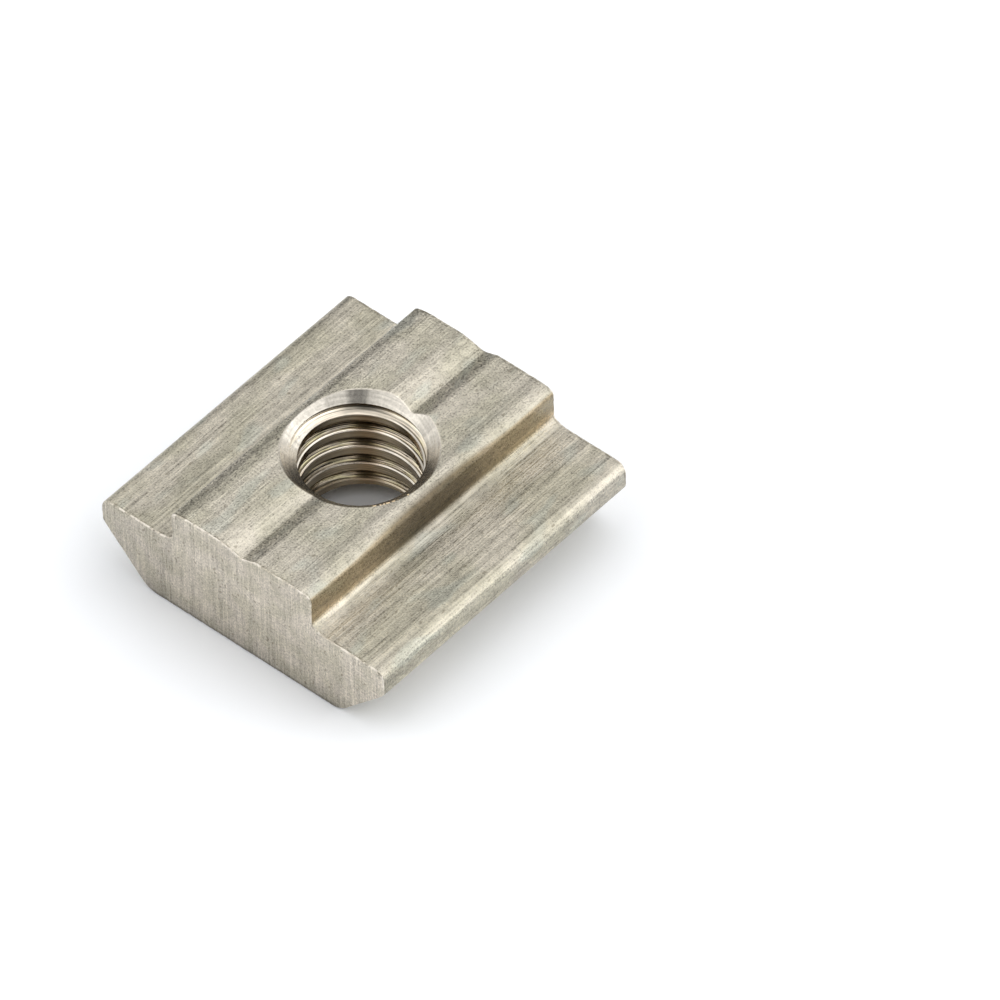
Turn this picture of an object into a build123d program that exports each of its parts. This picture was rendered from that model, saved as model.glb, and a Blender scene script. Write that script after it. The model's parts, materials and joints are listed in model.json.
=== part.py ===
from build123d import *
import os
from math import radians, tan

# Slide-in T-nut: a short length of drawn steel T-section, sawn off square, drilled, countersunk
# at both mouths and tapped M8 through its thickness.
# Millimetres. X runs across the slot, Y along it, and Z from the foot up to the boss.
# The origin lies on the foot face, in the middle of the sawn length and of the width.

# Section of the drawn bar
wing_width = 19.5          # over both wings, which hook under the lips of the slot
boss_width = 9.65          # boss that runs between the lips
boss_height = 2.4          # boss top above the clamping faces of the wings
land_height = 1.65         # upright land at the outside of each wing
bevel_width = 3.1          # bevel below each land, measured across
bevel_height = 3.25        # the same bevel, measured upwards
foot_radius = 1.3          # rounding where the bevel meets the foot
land_radius = 0.6          # rounding where the bevel meets the land
wing_radius = 0.65         # rounding of the outer top edge of a wing
ramp_width = 0.65          # hollow ramp where a wing meets the boss, measured across
ramp_height = 0.27         # the same ramp, measured upwards
ramp_radius = 1.7          # rounding where the ramp meets the clamping face
step_radius = 0.35         # fillet where the ramp meets the boss's side
boss_radius = 0.32         # rounding at the top of the boss's side

# Worn edges of the boss top: each one slopes gently, then breaks into a steeper slope
crown_drop = 0.24          # fall of either slope by the time it reaches the boss's side
crown_radius = 1.0         # rounding at both of its breaks
left_crown_width = 1.22    # from the boss's left side to where the slope starts
left_break_width = 0.6     # from the boss's left side to where it steepens
left_break_drop = 0.08     # its fall up to there
right_crown_width = 0.9    # the same three for the right side
right_break_width = 0.4
right_break_drop = 0.06

# Shallow groove drawn along the middle of the boss, steeper on the right
groove_left = 1.3          # left shoulder to the deepest line, which lies at the boss's middle
groove_right = 0.95        # deepest line to the right shoulder
groove_depth = 0.36        # before its corners are rounded
valley_radius = 0.45       # rounding at the bottom of the groove
left_shoulder_radius = 4.0
right_shoulder_radius = 0.8

# Sawn length
nut_length = 19.4
edge_break = 0.08          # chamfer that tumbling left on the sawn edges

# Tapped hole
thread_size = 8.0          # nominal diameter of the thread
thread_pitch = 1.25        # coarse pitch for that size
minor_factor = 1.0825      # basic minor diameter lies this many pitches inside the nominal one
hole_shift = -0.22         # the hole stands a little left of the boss's middle
rim_margin = 0.18          # countersink rim beyond the thread's nominal radius, boss side
foot_rim_margin = 0.3      # the same on the foot side
countersink_angle = 90.0   # full angle of both countersinks

# Worked out from the sizes above
foot_width = wing_width - 2 * bevel_width
wing_top = bevel_height + land_height
thickness = wing_top + boss_height
bore_radius = (thread_size - minor_factor * thread_pitch) / 2
rim_radius = thread_size / 2 + rim_margin
foot_rim_radius = thread_size / 2 + foot_rim_margin


def half_section(crown_width, break_width, break_drop):
    """Corners of one half of the section, from the foot up to the boss top: x, z and rounding."""
    return [
        (foot_width / 2, 0, foot_radius),
        (wing_width / 2, bevel_height, land_radius),
        (wing_width / 2, wing_top, wing_radius),
        (boss_width / 2 + ramp_width, wing_top, ramp_radius),
        (boss_width / 2, wing_top + ramp_height, step_radius),
        (boss_width / 2, thickness - crown_drop, boss_radius),
        (boss_width / 2 - break_width, thickness - break_drop, crown_radius),
        (boss_width / 2 - crown_width, thickness, crown_radius),
    ]


def groove():
    """Corners of the groove along the boss, from the right shoulder to the left."""
    return [
        (groove_right, thickness, right_shoulder_radius),
        (0, thickness - groove_depth, valley_radius),
        (-groove_left, thickness, left_shoulder_radius),
    ]


def fitting_radius(wanted, corner, before, after):
    """The wanted rounding, or as much of it as the shorter wall beside the corner has room for.
    An arc meets its walls at its radius times the tangent of half the turn from the corner."""
    share_of_wall = 0.49
    back = Vector(*corner) - Vector(*before)
    ahead = Vector(*after) - Vector(*corner)
    half_turn = radians(back.get_angle(ahead)) / 2
    room = share_of_wall * min(back.length, ahead.length)
    return min(wanted, room / tan(half_turn))


def bar_section():
    """The bar's T-shaped section: a closed outline of straight runs with every corner rounded."""
    right = half_section(right_crown_width, right_break_width, right_break_drop)
    left = half_section(left_crown_width, left_break_width, left_break_drop)
    corners = right + groove() + [(-x, z, rounding) for x, z, rounding in reversed(left)]
    points = [(x, z) for x, z, rounding in corners]
    section = make_face(Polyline(*points, close=True))
    for number, (x, z, rounding) in enumerate(corners):
        before = points[number - 1]
        after = points[(number + 1) % len(points)]
        corner = section.vertices().sort_by_distance((x, z, 0))[0]
        section = fillet(corner, fitting_radius(rounding, (x, z), before, after))
    return section


def sawn_bar():
    """The section carried along the slot's direction, half the length to each side, with the sharp
    edges of both sawn faces broken."""
    bar = extrude(Plane.XZ * bar_section(), amount=nut_length / 2, both=True)
    sawn_faces = bar.faces().filter_by(Axis.Y)
    return chamfer(sawn_faces.edges(), edge_break)


def hole_cutter():
    """Bore at the thread's minor diameter with a countersink at each mouth, run past both faces."""
    slope = tan(radians(countersink_angle / 2))
    overrun = rim_margin + foot_rim_margin
    profile = Polyline(
        (0, -overrun),
        (foot_rim_radius + overrun * slope, -overrun),
        (bore_radius, (foot_rim_radius - bore_radius) / slope),
        (bore_radius, thickness - (rim_radius - bore_radius) / slope),
        (rim_radius + overrun * slope, thickness + overrun),
        (0, thickness + overrun),
        close=True,
    )
    return Pos(hole_shift, 0, 0) * revolve(Plane.XZ * make_face(profile), Axis.Z)


t_nut = sawn_bar() - hole_cutter()

os.makedirs("parts", exist_ok=True)
export_step(t_nut, "parts/t_nut.step")
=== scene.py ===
import json
import math
import bmesh
import bpy
import numpy as np
from mathutils import Matrix, Vector


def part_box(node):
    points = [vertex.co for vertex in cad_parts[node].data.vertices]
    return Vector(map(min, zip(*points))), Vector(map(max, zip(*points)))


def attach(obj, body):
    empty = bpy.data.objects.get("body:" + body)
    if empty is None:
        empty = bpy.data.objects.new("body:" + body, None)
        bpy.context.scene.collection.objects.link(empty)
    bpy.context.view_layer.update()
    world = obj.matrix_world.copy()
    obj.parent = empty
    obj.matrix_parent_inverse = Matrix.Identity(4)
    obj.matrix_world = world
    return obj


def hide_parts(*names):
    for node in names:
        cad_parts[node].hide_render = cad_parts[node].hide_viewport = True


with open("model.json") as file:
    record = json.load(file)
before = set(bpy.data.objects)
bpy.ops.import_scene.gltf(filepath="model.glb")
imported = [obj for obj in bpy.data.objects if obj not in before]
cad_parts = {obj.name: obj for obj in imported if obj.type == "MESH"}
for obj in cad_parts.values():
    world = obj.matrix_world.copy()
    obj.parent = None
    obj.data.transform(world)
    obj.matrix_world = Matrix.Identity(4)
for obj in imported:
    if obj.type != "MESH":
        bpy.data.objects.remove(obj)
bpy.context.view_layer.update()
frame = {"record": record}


# T-nut. A short length of cold drawn steel T-section, sawn off square at both ends, drilled and
# countersunk from both faces and tapped M8 x 1.25 right-hand. It is one closed piece: the skin of
# the drawn bar, two sawn ends, two countersinks and the threaded bore, and it stands on its foot.

# Sizes of the drawn section and the hole, in millimetres, as the CAD part has them
WING_TOP = 4.9             # clamping faces of the wings above the foot
BOSS_WIDTH = 9.65
BEVEL_WIDTH = 3.1
BEVEL_HEIGHT = 3.25
FOOT_RADIUS = 1.3
LAND_RADIUS = 0.6
WING_RADIUS = 0.65
RAMP_WIDTH = 0.65          # hollow ramp where each wing meets the boss
RAMP_HEIGHT = 0.27
RAMP_RADIUS = 1.7
STEP_RADIUS = 0.35
BOSS_RADIUS = 0.32
CROWN_DROP = 0.24          # worn edges of the boss top: their fall at the boss's side
CROWN_RADIUS = 1.0
LEFT_CROWN = (1.22, 0.6, 0.08)     # width, where it breaks into a steeper slope, fall up to there
RIGHT_CROWN = (0.9, 0.4, 0.06)
GROOVE_LEFT = 1.3          # groove along the boss's middle: to its left and its right shoulder
GROOVE_RIGHT = 0.95
GROOVE_DEPTH = 0.36
VALLEY_RADIUS = 0.45
LEFT_SHOULDER = 4.0        # roundings at the groove's shoulders
RIGHT_SHOULDER = 0.8
RIM_MARGIN = 0.18          # countersink rims beyond the thread's nominal radius, boss side
FOOT_RIM_MARGIN = 0.3      # and foot side
THREAD_PITCH = 1.25        # coarse pitch of an M8 thread

low, high = (np.array(corner) * 1000 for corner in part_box("t_nut"))
WING_WIDTH, NUT_LENGTH, THICKNESS = high - low
thread = next(m for m in frame["record"]["mounts"] if m["kind"] == "threaded_hole")
HOLE_X = thread["pos_m"][0] * 1000
MINOR_RADIUS = thread["dims"]["r_mm"]
MAJOR_RADIUS = 4.0         # half the thread's nominal diameter
RIM_RADIUS = MAJOR_RADIUS + RIM_MARGIN
FOOT_RIM_RADIUS = MAJOR_RADIUS + FOOT_RIM_MARGIN

# Grid of the mesh
SIDE_STEPS = 80            # steps along each side of the square around the hole
SQUARE_TOP = 4.27          # half side of that square on the boss
SQUARE_FOOT = 4.7          # and on the foot
ARC_STEPS = 9              # points round each rounded corner of the section
SKIN_STEP = 0.22           # widest step along the flats of the section
SHORTEST_STEP = 0.01       # points that lie closer than this along it are left out
END_RUN = (0.12, 0.35, 0.65, 0.9, 1.0)       # rows from the square to the sawn end, as shares
EDGE_BREAK = 0.09          # rounding that sawing and tumbling left on the sawn edges
EDGE_WAVER = 0.35          # how much of it comes and goes along the edge
WAVER_RATES = (3.1, 7.3, 12.7, 19.9)         # its four waves, in radians for each millimetre
EDGE_STEPS = 4             # steps round that rounding
PATCH_RINGS = 14           # rings between a countersink's rim and its square
RIM_ROUNDS = 12            # rounds in which the rim's radius and height settle on each other


def rounded_outline(corners, radii):
    """Outline with every corner replaced by a circle's arc. A corner's arc touches both of its
    walls at radius / tan(half the corner's angle) from the corner, and its centre lies on the
    corner's bisector at radius / sin(half the angle)."""
    behind = np.roll(corners, 1, axis=0) - corners
    ahead = np.roll(corners, -1, axis=0) - corners
    behind /= np.linalg.norm(behind, axis=1)[:, None]
    ahead /= np.linalg.norm(ahead, axis=1)[:, None]
    half = np.arccos(np.sum(behind * ahead, axis=1)) / 2
    bisector = behind + ahead
    bisector /= np.linalg.norm(bisector, axis=1)[:, None]
    centre = corners + bisector * (radii / np.sin(half))[:, None]
    start = corners + behind * (radii / np.tan(half))[:, None] - centre
    end = corners + ahead * (radii / np.tan(half))[:, None] - centre
    first = np.arctan2(start[:, 1], start[:, 0])
    turn = (np.arctan2(end[:, 1], end[:, 0]) - first + np.pi) % (2 * np.pi) - np.pi
    angle = first[:, None] + turn[:, None] * np.linspace(0, 1, ARC_STEPS)
    arc = np.stack([np.cos(angle), np.sin(angle)], axis=-1)
    return (centre[:, None] + radii[:, None, None] * arc).reshape(-1, 2)


half_boss, half_width, half_foot = BOSS_WIDTH / 2, WING_WIDTH / 2, WING_WIDTH / 2 - BEVEL_WIDTH


def half_section(crown_width, break_width, break_fall):
    """Corners of one half of the section, from the foot up to the boss top: x, z and rounding."""
    return np.array([
        (half_foot, 0, FOOT_RADIUS),
        (half_width, BEVEL_HEIGHT, LAND_RADIUS),
        (half_width, WING_TOP, WING_RADIUS),
        (half_boss + RAMP_WIDTH, WING_TOP, RAMP_RADIUS),
        (half_boss, WING_TOP + RAMP_HEIGHT, STEP_RADIUS),
        (half_boss, THICKNESS - CROWN_DROP, BOSS_RADIUS),
        (half_boss - break_width, THICKNESS - break_fall, CROWN_RADIUS),
        (half_boss - crown_width, THICKNESS, CROWN_RADIUS),
    ])


groove = np.array([
    (GROOVE_RIGHT, THICKNESS, RIGHT_SHOULDER),
    (0, THICKNESS - GROOVE_DEPTH, VALLEY_RADIUS),
    (-GROOVE_LEFT, THICKNESS, LEFT_SHOULDER),
])
left_side = half_section(*LEFT_CROWN)[::-1] * (-1, 1, 1)
section = np.vstack([half_section(*RIGHT_CROWN), groove, left_side])
outline = np.vstack([(0, 0), rounded_outline(section[:, :2], section[:, 2]), (0, 0)])
outline_run = np.r_[0, np.cumsum(np.linalg.norm(np.diff(outline, axis=0), axis=1))]
high_up = outline[:, 1] > (WING_TOP + THICKNESS) / 2
on_boss = high_up & (abs(outline[:, 0]) < half_boss - BOSS_RADIUS / 2)


def boss_height(x):
    """Height of the boss top over x: the outline between the two edges of the boss."""
    return np.interp(x, outline[on_boss][::-1, 0], outline[on_boss][::-1, 1])


def run_at_boss(x):
    """Distance along the outline of the point over x on the boss top."""
    return np.interp(x, outline[on_boss][::-1, 0], outline_run[on_boss][::-1])


def side_chain(first, last):
    """Points of the outline between two distances along it: every arc point, with even steps
    between them along the flats."""
    count = math.ceil((last - first) / SKIN_STEP)
    corner_runs = outline_run[(outline_run > first) & (outline_run < last)]
    runs = np.unique(np.round(np.r_[corner_runs, np.linspace(first, last, count)], 6))
    keep = np.r_[True, np.diff(runs) > SHORTEST_STEP]
    keep[-1] = True
    x, z = (np.interp(runs[keep], outline_run, outline[:, axis]) for axis in (0, 1))
    return np.stack([x, z], axis=1)


# Steps along a side of the square, even in angle as seen from the hole's axis
side_share = np.tan(np.linspace(-np.pi / 4, np.pi / 4, SIDE_STEPS + 1))
right_chain = side_chain(HOLE_X + SQUARE_FOOT, run_at_boss(HOLE_X + SQUARE_TOP))
left_chain = side_chain(run_at_boss(HOLE_X - SQUARE_TOP), outline_run[-1] + HOLE_X - SQUARE_FOOT)
boss_x = HOLE_X + SQUARE_TOP * side_share
foot_x = HOLE_X + SQUARE_FOOT * side_share
boss_chain = np.stack([boss_x, boss_height(boss_x)], axis=1)[::-1]
foot_chain = np.stack([foot_x, 0 * foot_x], axis=1)


def square_half(chain):
    """Half side of the square that a side chain's rows keep to: the foot's at its foot end, the
    boss's at its boss end, and even steps between."""
    share = np.linspace(0, 1, len(chain))
    if chain[0, 1] > chain[-1, 1]:
        share = 1 - share
    return SQUARE_FOOT + (SQUARE_TOP - SQUARE_FOOT) * share


verts, quads, regions, patterns = [], [], [], []
SKIN, SAWN, CUT, TAPPED = range(4)


def add_grid(points, region, wrap=False, pattern=None):
    """Puts a grid of points, rows by columns, into the mesh, with a quad between each four
    neighbours. With wrap the last column joins the first. region is one number or one for each
    quad, and pattern is the grid's place in the piece's UV map, in millimetres."""
    start = sum(len(v) for v in verts)
    rows, columns = points.shape[:2]
    index = start + np.arange(rows * columns).reshape(rows, columns)
    if wrap:
        index = np.hstack([index, index[:, :1]])
    corners = np.stack([index[:-1, :-1], index[:-1, 1:], index[1:, 1:], index[1:, :-1]], axis=-1)
    verts.append(points.reshape(-1, 3))
    quads.append(corners.reshape(-1, 4))
    regions.append(np.broadcast_to(region, corners.shape[:2]).reshape(-1))
    if pattern is None:
        patterns.append(np.zeros((corners.size, 2)))
    else:
        below, above = (pattern[:-1, :-1], pattern[:-1, 1:]), (pattern[1:, 1:], pattern[1:, :-1])
        patterns.append(np.stack([*below, *above], axis=2).reshape(-1, 2))


# Drawn skin beside the hole: both side chains carried along the slot's direction
for chain in (right_chain, left_chain):
    x, y, z = np.broadcast_arrays(chain[:, 0], side_share[:, None] * square_half(chain), chain[:, 1])
    add_grid(np.stack([x, y, z], axis=-1), SKIN)

# Drawn skin from the square to each sawn end, the whole way round, then the broken edge: a
# quarter round whose radius wavers along the edge, as tumbling leaves it
loop = np.vstack([foot_chain[:-1], right_chain[:-1], boss_chain[:-1], left_chain[:-1]])
loop_half = np.concatenate([
    np.full(len(foot_chain) - 1, SQUARE_FOOT), square_half(right_chain)[:-1],
    np.full(len(boss_chain) - 1, SQUARE_TOP), square_half(left_chain)[:-1],
])
forward = np.roll(loop, -1, axis=0) - loop
forward /= np.linalg.norm(forward, axis=1)[:, None]
tangent = forward + np.roll(forward, 1, axis=0)
tangent /= np.linalg.norm(tangent, axis=1)[:, None]
inward = np.stack([-tangent[:, 1], tangent[:, 0]], axis=1)
loop_run = np.r_[0, np.cumsum(np.linalg.norm(np.diff(loop, axis=0), axis=1))]
for end in (-1, 1):
    waver = sum(np.sin(loop_run * rate + end * rate) for rate in WAVER_RATES) / len(WAVER_RATES)
    edge = EDGE_BREAK * (1 + EDGE_WAVER * waver)
    last_row = NUT_LENGTH / 2 - edge
    y_run = loop_half + (last_row - loop_half) * np.r_[0, END_RUN][:, None]
    turn = np.linspace(0, np.pi / 2, EDGE_STEPS + 1)[1:, None]
    y_edge = last_row + edge * np.sin(turn)
    inset = edge * (1 - np.cos(turn))
    y = end * np.vstack([y_run, y_edge])
    inset = np.vstack([0 * y_run, inset])
    x = loop[:, 0] + inward[:, 0] * inset
    z = loop[:, 1] + inward[:, 1] * inset
    rows = np.stack([x, y, z], axis=-1)
    ring_region = np.where(np.arange(len(y) - 1) < len(END_RUN), SKIN, SAWN)[:, None]
    if end < 0:
        rows, ring_region = rows[::-1], ring_region[::-1]
    add_grid(rows, ring_region, wrap=True)


# Boss top and foot around the hole: rings that turn from the countersink's rim into the square
def square_ring(half):
    """The square's boundary as one ring round the hole's axis, counter-clockwise from its corner
    at the lower right."""
    side = half * side_share[:-1]
    full = np.full(SIDE_STEPS, half)
    return np.vstack([
        np.stack([full, side], axis=1), np.stack([-side, full], axis=1),
        np.stack([-full, -side], axis=1), np.stack([side, -full], axis=1),
    ])


ring_angle = np.arctan2(square_ring(1.0)[:, 1], square_ring(1.0)[:, 0])
ring_direction = np.stack([np.cos(ring_angle), np.sin(ring_angle)], axis=1)
rim_radius = np.full(len(ring_angle), RIM_RADIUS)
# The rim is where the cone meets the boss top. It is narrower where the top is lower, in the
# groove and at the boss's worn left edge.
for _ in range(RIM_ROUNDS):
    rim_height = boss_height(HOLE_X + rim_radius * ring_direction[:, 0])
    rim_radius = RIM_RADIUS - (THICKNESS - rim_height)
ring_share = np.linspace(0, 1, PATCH_RINGS + 1)[:, None, None]

boss_rim = ring_direction * rim_radius[:, None]
boss_plan = boss_rim + (square_ring(SQUARE_TOP) - boss_rim) * ring_share
boss_plan[..., 0] += HOLE_X
add_grid(np.dstack([boss_plan, boss_height(boss_plan[..., 0])])[::-1], SKIN, wrap=True)

foot_rim = ring_direction * FOOT_RIM_RADIUS
foot_plan = foot_rim + (square_ring(SQUARE_FOOT) - foot_rim) * ring_share
foot_plan[..., 0] += HOLE_X
add_grid(np.dstack([foot_plan, 0 * foot_plan[..., 0]]), SKIN, wrap=True)

# Thread. Crest flats are a fifth of the pitch each side of the crest's middle, wider than a fresh
# tap leaves them, and the flanks rise at 30 degrees from square to the axis into a sharp root.
CREST_HEIGHT = 6.055       # middle of a crest above the foot
CREST_ANGLE = math.radians(131.6)            # angle round the axis at which it has that height
CREST_SHARE = 0.2
PROFILE_STEPS = 1600       # steps of the profile across one pitch
CORNER_SOFT = 0.03         # worn rounding of the thread's corners, in pitches
LIP = 0.018                # height of the lip that the tap raised along each crest's corners
LIP_PLACE = 0.003          # past the crest's corner, in pitches: the lip,
FURROW_PLACE = 0.032       # the furrow behind it,
LIP_WIDTH = 0.012          # and the width of both
FIRST_ROOT = 3.62          # average radius of the root in the first turn, which is cut less deep,
FIRST_SKEW = 0.12          # and how much deeper it is at the angle below, where the tap leaned over
SKEW_ANGLE = math.radians(200)
FIRST_DEPTH = 0.7          # depth below the boss top from which the root grows to its full radius,
FIRST_FADE = 0.9           # and the height over which it does
# Rows of the mesh across half a pitch, from the middle of a crest towards the middle of the root
HALF_ROWS = (0, 0.11, 0.175, 0.19, 0.204, 0.218, 0.233, 0.27, 0.32, 0.37, 0.43, 0.47)


def thread_phase(angle, z):
    """Place across the thread, in pitches from the middle of the nearest crest. A right-hand
    helix rises by one pitch as the angle goes once round counter-clockwise."""
    phase = (z - CREST_HEIGHT) / THREAD_PITCH - (angle - CREST_ANGLE) / (2 * np.pi)
    return (phase + 0.5) % 1 - 0.5


def thread_radius(angle, z):
    """Radius of the tapped wall: the minor radius on the crests, growing along the flanks by
    tan 60 for each millimetre of height, and held at the root's radius. The corners are rounded
    by averaging the profile over a few hundredths of a pitch, and each crest's corners carry a
    low lip with a furrow behind it, both bell curves. In the first turn the root's radius is
    smaller and follows a cosine round the axis, and it grows to the full one with depth."""
    shares = np.linspace(0, 1, PROFILE_STEPS + 1)
    off_crest = np.abs((shares + 0.5) % 1 - 0.5)
    flank = (off_crest - CREST_SHARE) * THREAD_PITCH * math.tan(math.radians(60))
    profile = MINOR_RADIUS + np.clip(flank, 0, MAJOR_RADIUS - MINOR_RADIUS)
    profile = profile - LIP * np.exp(-((off_crest - CREST_SHARE - LIP_PLACE) / LIP_WIDTH) ** 2)
    profile = profile + LIP * np.exp(-((off_crest - CREST_SHARE - FURROW_PLACE) / LIP_WIDTH) ** 2)
    span = round(CORNER_SOFT * PROFILE_STEPS)
    kernel = np.hanning(span + 2)[1:-1]
    padded = np.r_[profile[-span - 1:-1], profile, profile[1:span + 1]]
    soft = np.convolve(padded, kernel / kernel.sum(), mode="same")[span:-span]
    depth = THICKNESS - z
    first = FIRST_ROOT + FIRST_SKEW * np.cos(angle - SKEW_ANGLE)
    root = first + (MAJOR_RADIUS - first) * np.clip((depth - FIRST_DEPTH) / FIRST_FADE, 0, 1)
    return np.minimum(np.interp(thread_phase(angle, z) % 1, shares, soft), root)


def cone_radius(z):
    """Radius of the two 90 degree countersinks, which each lose a millimetre for each of depth."""
    return np.maximum(RIM_RADIUS - (THICKNESS - z), FOOT_RIM_RADIUS - z)


# Bore from rim to rim. Its rows climb with the helix, so that crests and roots lie along them,
# and stop at the rims. The wall is whichever lies further out: the thread or a countersink. Where
# two points of a column have the edge between them, the nearer one moves onto it.
TURNS = (-7, 3)            # crests covered, counted up from the known one: first, and one past the last
closed_angle = np.r_[ring_angle, ring_angle[0] + 2 * np.pi]
closed_angle[1:] += 2 * np.pi * (closed_angle[1:] < closed_angle[0])
closed_rim = np.r_[rim_height, rim_height[0]]
pitch_rows = np.array(HALF_ROWS + tuple(1 - share for share in HALF_ROWS[:0:-1]))
row_phase = (np.arange(*TURNS)[:, None] + pitch_rows).reshape(-1, 1)
climb = CREST_HEIGHT + THREAD_PITCH * (closed_angle - CREST_ANGLE) / (2 * np.pi)
bore_z = np.clip(climb + THREAD_PITCH * row_phase, 0, closed_rim)
gap = cone_radius(bore_z) - thread_radius(closed_angle, bore_z)
crossing = gap[:-1] * gap[1:] < 0
share = np.where(crossing, gap[:-1] / np.where(crossing, gap[:-1] - gap[1:], 1), 0)
meeting = bore_z[:-1] + share * (bore_z[1:] - bore_z[:-1])
bore_z[:-1] = np.where(crossing & (share < 0.5), meeting, bore_z[:-1])
bore_z[1:] = np.where(crossing & (share >= 0.5), meeting, bore_z[1:])
on_edge = np.zeros(bore_z.shape, bool)
on_edge[:-1] |= crossing & (share < 0.5)
on_edge[1:] |= crossing & (share >= 0.5)
edge_points = sum(len(v) for v in verts) + np.flatnonzero(on_edge)
cone, tapped = cone_radius(bore_z), thread_radius(closed_angle, bore_z)
wall = np.maximum(cone, tapped)
bore = np.stack([HOLE_X + wall * np.cos(closed_angle), wall * np.sin(closed_angle), bore_z], axis=-1)
gap = cone - tapped
is_cut = gap[:-1, :-1] + gap[:-1, 1:] + gap[1:, :-1] + gap[1:, 1:] > 0
around = np.broadcast_to(closed_angle * MAJOR_RADIUS, bore_z.shape)
add_grid(bore, np.where(is_cut, CUT, TAPPED), pattern=np.stack([around, bore_z - climb], axis=-1))

# Sawn faces: one flat face across each end, inside its broken edge. Quads that the edge between
# thread and countersink crosses from corner to corner are split along it, which keeps it crisp.
MERGE_DISTANCE = 1e-7      # metres
SHARP_ANGLE = math.radians(32)
points = np.vstack(verts) / 1000
faces = np.vstack(quads)
face_region = np.concatenate(regions)
nut_mesh = bpy.data.meshes.new("t_nut_threaded")
nut_mesh.from_pydata(points, [], faces.tolist())
nut_mesh.polygons.foreach_set("material_index", face_region.astype(np.int32))
run_map = nut_mesh.uv_layers.new(name="thread_run")
run_map.uv.foreach_set("vector", np.vstack(patterns).astype(np.float32).ravel())

shape = bmesh.new()
shape.from_mesh(nut_mesh)
shape.verts.ensure_lookup_table()
bmesh.ops.connect_verts(shape, verts=[shape.verts[number] for number in edge_points])
bmesh.ops.remove_doubles(shape, verts=shape.verts, dist=MERGE_DISTANCE)
open_edges = [edge for edge in shape.edges if edge.is_boundary]
ends = bmesh.ops.holes_fill(shape, edges=open_edges, sides=0)["faces"]
for face in ends:
    face.material_index = SAWN
bmesh.ops.recalc_face_normals(shape, faces=shape.faces)
for face in shape.faces:
    face.smooth = True
shape.to_mesh(nut_mesh)
shape.free()
nut_mesh.set_sharp_from_angle(angle=SHARP_ANGLE)

t_nut = bpy.data.objects.new("t_nut_threaded", nut_mesh)
bpy.context.scene.collection.objects.link(t_nut)


def srgb(code):
    """Linear colour of an sRGB hex code such as #B8B0A0."""
    shares = np.array([int(code[i:i + 2], 16) for i in (1, 3, 5)]) / 255
    linear = np.where(shares <= 0.04045, shares / 12.92, ((shares + 0.055) / 1.055) ** 2.4)
    return (*linear.tolist(), 1.0)


def add_node(tree, kind, settings=None, **sockets):
    """Adds a shader node with its settings. Each socket, named with its spaces as underscores or
    as _0 for its number, gets a value or the output that feeds it."""
    node = tree.nodes.new(kind)
    for name, value in (settings or {}).items():
        setattr(node, name, value)
    for name, value in sockets.items():
        key = int(name[1:]) if name[0] == "_" else name.replace("_", " ")
        socket = node.inputs[key]
        if isinstance(value, bpy.types.NodeSocket):
            tree.links.new(value, socket)
        else:
            socket.default_value = value
    return node


# Settings that many nodes share: a mix of two colours, a soft ramp, and a product with or without
# a third value added
BLEND = {"data_type": "RGBA"}
SMOOTH = {"interpolation_type": "SMOOTHSTEP"}
TIMES = {"operation": "MULTIPLY"}
TIMES_PLUS = {"operation": "MULTIPLY_ADD"}


def new_material(name):
    """An empty material with its Principled shader and output, ready for nodes."""
    material = bpy.data.materials.new(name)
    material.use_nodes = True
    tree = material.node_tree
    return material, tree, tree.nodes["Principled BSDF"]


def in_millimetres(tree):
    """Object coordinates in millimetres, so that every pattern's scale is one over its real size."""
    place = add_node(tree, "ShaderNodeTexCoord").outputs["Object"]
    return add_node(
        tree, "ShaderNodeVectorMath", {"operation": "SCALE"}, Vector=place, Scale=1000.0,
    ).outputs[0]


def grain(tree, place, size, detail=2.0, roughness=0.5):
    """Signed noise about 0 whose features are size millimetres along x, y and z."""
    stretched = add_node(tree, "ShaderNodeMapping", Vector=place, Scale=tuple(1 / s for s in size))
    return add_node(
        tree, "ShaderNodeTexNoise", {"normalize": False}, Vector=stretched.outputs[0],
        Scale=1.0, Detail=detail, Roughness=roughness,
    ).outputs[0]


def shaded(tree, color, *swings):
    """The colour made lighter and darker by signed noises, each with its strength."""
    shade = 1.0
    for noise, strength in swings:
        shade = add_node(
            tree, "ShaderNodeMath", TIMES_PLUS, _0=noise, _1=strength, _2=shade,
        ).outputs[0]
    return add_node(
        tree, "ShaderNodeVectorMath", {"operation": "SCALE"}, Vector=color, Scale=shade,
    ).outputs[0]


# Cold drawn steel skin: the die's drawing lines run along the bar, stronger on the wings, over a
# satin warm grey with faint blue-green patches, a salt-and-pepper grain and small faint pits. The
# grain is drawn a little coarser than the real one, which is too fine to show.
MARKS_AND_PAINTED_SHADING = (                  # drawing marks along the bar, and painted shade and light on the boss top's worn slopes: x, half width and shade of each
    (-9.2, 0.12, 0.84), (-4.32, 0.17, 0.78), (-3.35, 0.3, 1.04), (-1.75, 0.12, 0.88),
    (-1.4, 0.13, 0.93), (3.65, 0.34, 0.84), (5.75, 0.3, 0.94), (8.5, 0.14, 0.9),
)
MARK_CORE, MARK_EDGE = 0.6, 1.4       # a mark fades out between these shares of its half width
BOSS_SKIN, WING_SKIN = 6.2, 5.6       # heights where the boss's finer skin ends and the wings' starts
LINE_STRENGTH = (0.14, 0.12)          # of the lines on the boss, and how much more on the wings
BAND_STRENGTH = (0.09, 0.09)          # the same for the bands
SKIN_ROUGHNESS = (0.38, 0.14)         # the same for the roughness
BUMP_HEIGHT = 0.000008                # relief of lines and grain, 8 micrometres
drawn, tree, shader = new_material("cold_drawn_steel")
place = in_millimetres(tree)
x_mm, y_mm, z_mm = add_node(tree, "ShaderNodeSeparateXYZ", Vector=place).outputs
on_wing = add_node(
    tree, "ShaderNodeMapRange", Value=z_mm, From_Min=BOSS_SKIN, From_Max=WING_SKIN,
).outputs[0]
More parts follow.
